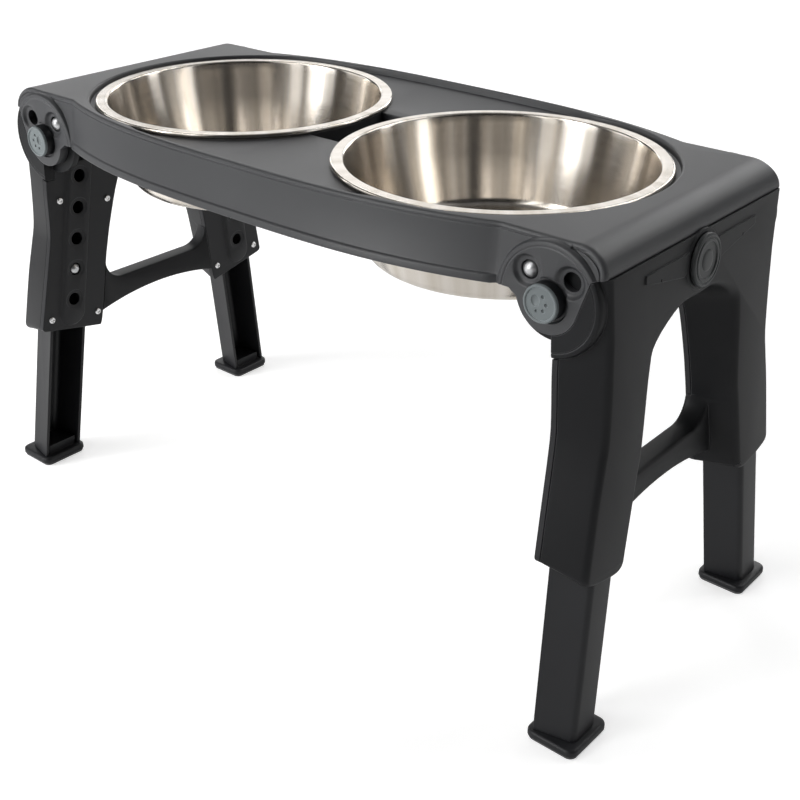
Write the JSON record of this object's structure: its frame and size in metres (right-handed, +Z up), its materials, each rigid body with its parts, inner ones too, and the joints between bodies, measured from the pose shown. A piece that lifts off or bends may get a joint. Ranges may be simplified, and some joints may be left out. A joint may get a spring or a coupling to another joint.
{
  "type": "double dog feeder",
  "caption": "Raised dog feeder: bowed deck with two lift-out steel bowls on folding end frames, with legs that slide and lock by spring pins.",
  "frame": {"origin": "on the floor under the middle of the deck", "axes": "+X along the deck to its right end, +Y to the rear, +Z up"},
  "size_m": [0.5604, 0.2582, 0.3145],
  "materials": {
    "charcoal_plastic": "fine matte texture",
    "black_plastic": "satin",
    "grey_plastic": "satin",
    "sole_rubber": "matte",
    "bowl_steel": "brushed round the bowl",
    "pin_steel": "satin",
    "spring_steel": "plain wire"
  },
  "bodies": {
    "deck": {"deck": "charcoal_plastic", "pivot_pin_front_left": "grey_plastic", "pivot_pin_rear_left": "grey_plastic", "pivot_pin_front_right": "grey_plastic", "pivot_pin_rear_right": "grey_plastic"},
    "frame_left": {"end_frame_left": "charcoal_plastic", "badge_left": "grey_plastic", "plate_front_left": "black_plastic", "plate_rear_left": "black_plastic", "plate_screw_1_front_left": "pin_steel", "plate_screw_2_front_left": "pin_steel", "plate_screw_3_front_left": "pin_steel", "plate_screw_4_front_left": "pin_steel", "plate_screw_1_rear_left": "pin_steel", "plate_screw_2_rear_left": "pin_steel", "plate_screw_3_rear_left": "pin_steel", "plate_screw_4_rear_left": "pin_steel", "lock_spring_front_left": "spring_steel", "lock_spring_rear_left": "spring_steel"},
    "frame_right": {"end_frame_right": "charcoal_plastic", "badge_right": "grey_plastic", "plate_front_right": "black_plastic", "plate_rear_right": "black_plastic", "plate_screw_1_front_right": "pin_steel", "plate_screw_2_front_right": "pin_steel", "plate_screw_3_front_right": "pin_steel", "plate_screw_4_front_right": "pin_steel", "plate_screw_1_rear_right": "pin_steel", "plate_screw_2_rear_right": "pin_steel", "plate_screw_3_rear_right": "pin_steel", "plate_screw_4_rear_right": "pin_steel", "lock_spring_front_right": "spring_steel", "lock_spring_rear_right": "spring_steel"},
    "bowl_left": {"bowl_left": "bowl_steel"},
    "bowl_right": {"bowl_right": "bowl_steel"},
    "leg_front_left": {"leg_front_left": "black_plastic", "foot_front_left": "black_plastic", "sole_front_left": "sole_rubber", "height_spring_front_left": "spring_steel"},
    "leg_rear_left": {"leg_rear_left": "black_plastic", "foot_rear_left": "black_plastic", "sole_rear_left": "sole_rubber", "height_spring_rear_left": "spring_steel"},
    "leg_front_right": {"leg_front_right": "black_plastic", "foot_front_right": "black_plastic", "sole_front_right": "sole_rubber", "height_spring_front_right": "spring_steel"},
    "leg_rear_right": {"leg_rear_right": "black_plastic", "foot_rear_right": "black_plastic", "sole_rear_right": "sole_rubber", "height_spring_rear_right": "spring_steel"},
    "height_pin_front_left": {"height_pin_front_left": "pin_steel"},
    "lock_pin_front_left": {"lock_pin_front_left": "pin_steel"},
    "height_pin_rear_left": {"height_pin_rear_left": "pin_steel"},
    "lock_pin_rear_left": {"lock_pin_rear_left": "pin_steel"},
    "height_pin_front_right": {"height_pin_front_right": "pin_steel"},
    "lock_pin_front_right": {"lock_pin_front_right": "pin_steel"},
    "height_pin_rear_right": {"height_pin_rear_right": "pin_steel"},
    "lock_pin_rear_right": {"lock_pin_rear_right": "pin_steel"}
  },
  "joints": [
    {"name": "fold_left", "type": "hinge", "parent": "deck", "child": "frame_left", "pos_m": [-0.2242, 0, 0.2796], "axis": [0, -1, 0], "range_deg": [0, 90]},
    {"name": "fold_right", "type": "hinge", "parent": "deck", "child": "frame_right", "pos_m": [0.2242, 0, 0.2796], "axis": [0, 1, 0], "range_deg": [0, 90]},
    {"name": "bowl_lift_left", "type": "slide", "parent": "deck", "child": "bowl_left", "axis": [0, 0, 1], "range_m": [0, 0.0702]},
    {"name": "bowl_lift_right", "type": "slide", "parent": "deck", "child": "bowl_right", "axis": [0, 0, 1], "range_m": [0, 0.0702]},
    {"name": "leg_slide_front_left", "type": "slide", "parent": "frame_left", "child": "leg_front_left", "axis": [0.0609, 0.1432, 0.9878], "range_m": [-0.0254, 0.0762]},
    {"name": "leg_slide_rear_left", "type": "slide", "parent": "frame_left", "child": "leg_rear_left", "axis": [0.0609, -0.1432, 0.9878], "range_m": [-0.0254, 0.0762]},
    {"name": "leg_slide_front_right", "type": "slide", "parent": "frame_right", "child": "leg_front_right", "axis": [-0.0609, 0.1432, 0.9878], "range_m": [-0.0254, 0.0762]},
    {"name": "leg_slide_rear_right", "type": "slide", "parent": "frame_right", "child": "leg_rear_right", "axis": [-0.0609, -0.1432, 0.9878], "range_m": [-0.0254, 0.0762]},
    {"name": "height_pin_press_front_left", "type": "slide", "parent": "leg_front_left", "child": "height_pin_front_left", "axis": [-1, 0, 0], "range_m": [0, 0.005], "stiffness_N_per_m": 350, "springref_m": -0.004},
    {"name": "lock_pin_press_front_left", "type": "slide", "parent": "frame_left", "child": "lock_pin_front_left", "axis": [0, 1, 0], "range_m": [0, 0.004], "stiffness_N_per_m": 350, "springref_m": -0.004},
    {"name": "height_pin_press_rear_left", "type": "slide", "parent": "leg_rear_left", "child": "height_pin_rear_left", "axis": [-1, 0, 0], "range_m": [0, 0.005], "stiffness_N_per_m": 350, "springref_m": -0.004},
    {"name": "lock_pin_press_rear_left", "type": "slide", "parent": "frame_left", "child": "lock_pin_rear_left", "axis": [0, -1, 0], "range_m": [0, 0.004], "stiffness_N_per_m": 350, "springref_m": -0.004},
    {"name": "height_pin_press_front_right", "type": "slide", "parent": "leg_front_right", "child": "height_pin_front_right", "axis": [1, 0, 0], "range_m": [0, 0.005], "stiffness_N_per_m": 350, "springref_m": -0.004},
    {"name": "lock_pin_press_front_right", "type": "slide", "parent": "frame_right", "child": "lock_pin_front_right", "axis": [0, 1, 0], "range_m": [0, 0.004], "stiffness_N_per_m": 350, "springref_m": -0.004},
    {"name": "height_pin_press_rear_right", "type": "slide", "parent": "leg_rear_right", "child": "height_pin_rear_right", "axis": [1, 0, 0], "range_m": [0, 0.005], "stiffness_N_per_m": 350, "springref_m": -0.004},
    {"name": "lock_pin_press_rear_right", "type": "slide", "parent": "frame_right", "child": "lock_pin_rear_right", "axis": [0, -1, 0], "range_m": [0, 0.004], "stiffness_N_per_m": 350, "springref_m": -0.004}
  ],
  "couplings": [
    {"joint": "bowl_lift_left", "follows": "fold_left", "m_per_rad": 0.044563},
    {"joint": "bowl_lift_right", "follows": "fold_right", "m_per_rad": 0.044563}
  ]
}
